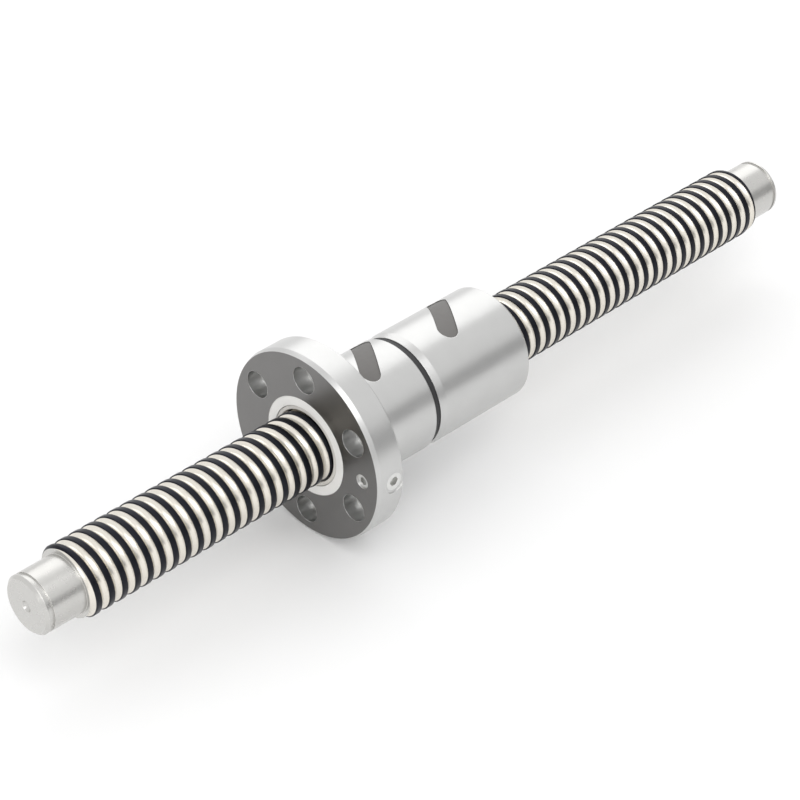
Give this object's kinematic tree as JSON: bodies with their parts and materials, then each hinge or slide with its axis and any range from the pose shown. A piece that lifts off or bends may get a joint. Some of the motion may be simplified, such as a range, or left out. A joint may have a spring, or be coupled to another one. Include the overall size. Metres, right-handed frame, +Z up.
{
  "type": "ball screw",
  "caption": "Flanged double-nut ball screw: threaded shaft with turned journals, two nut halves round recirculating balls, return inserts, wipers and preload spacer.",
  "frame": {"origin": "Centre of the flange's rear face, which seats on the housing.", "axes": "+X runs along the screw axis out of the seating face towards the rear nut half; +Z is up, with the return pockets 8 degrees from +Z; +Y completes the right-handed frame, and the grease ports face -Y."},
  "size_m": [0.3375, 0.067, 0.067],
  "materials": {
    "screw_steel": "ground bright steel",
    "nut_steel": "satin ground steel",
    "spacer_steel": "blackened steel",
    "wiper_white": "white acetal",
    "wiper_ring": "off-white low friction plastic",
    "insert_dark": "dark grey moulding",
    "ball_steel": "polished bearing steel",
    "fastener_steel": "plain steel"
  },
  "bodies": {
    "nut": {"flanged_nut": "nut_steel", "rear_nut": "nut_steel", "preload_spacer": "spacer_steel", "front_wiper_retainer": "wiper_white", "rear_wiper_retainer": "wiper_white", "front_return_base": "insert_dark", "rear_return_base": "insert_dark", "front_return_cap": "insert_dark", "rear_return_cap": "insert_dark", "front_loaded_balls": "ball_steel", "rear_loaded_balls": "ball_steel", "front_return_balls": "ball_steel", "rear_return_balls": "ball_steel", "locking_key": "fastener_steel", "key_screws": "fastener_steel", "rim_grease_plug": "fastener_steel", "face_grease_plug": "fastener_steel"},
    "wiper_rings": {"front_wiper_ring": "wiper_ring", "rear_wiper_ring": "wiper_ring", "front_garter_spring": "fastener_steel", "rear_garter_spring": "fastener_steel"},
    "screw": {"screw_shaft": "screw_steel"}
  },
  "joints": [
    {"name": "screw_turn", "type": "hinge", "parent": "nut", "child": "wiper_rings", "pos_m": [0, 0, 0], "axis": [1, 0, 0], "range_deg": [-8640, 6480]},
    {"name": "screw_travel", "type": "slide", "parent": "wiper_rings", "child": "screw", "axis": [1, 0, 0], "range_m": [-0.1201, 0.0901]}
  ],
  "couplings": [
    {"joint": "screw_travel", "follows": "screw_turn", "m_per_rad": 0.00079577}
  ]
}
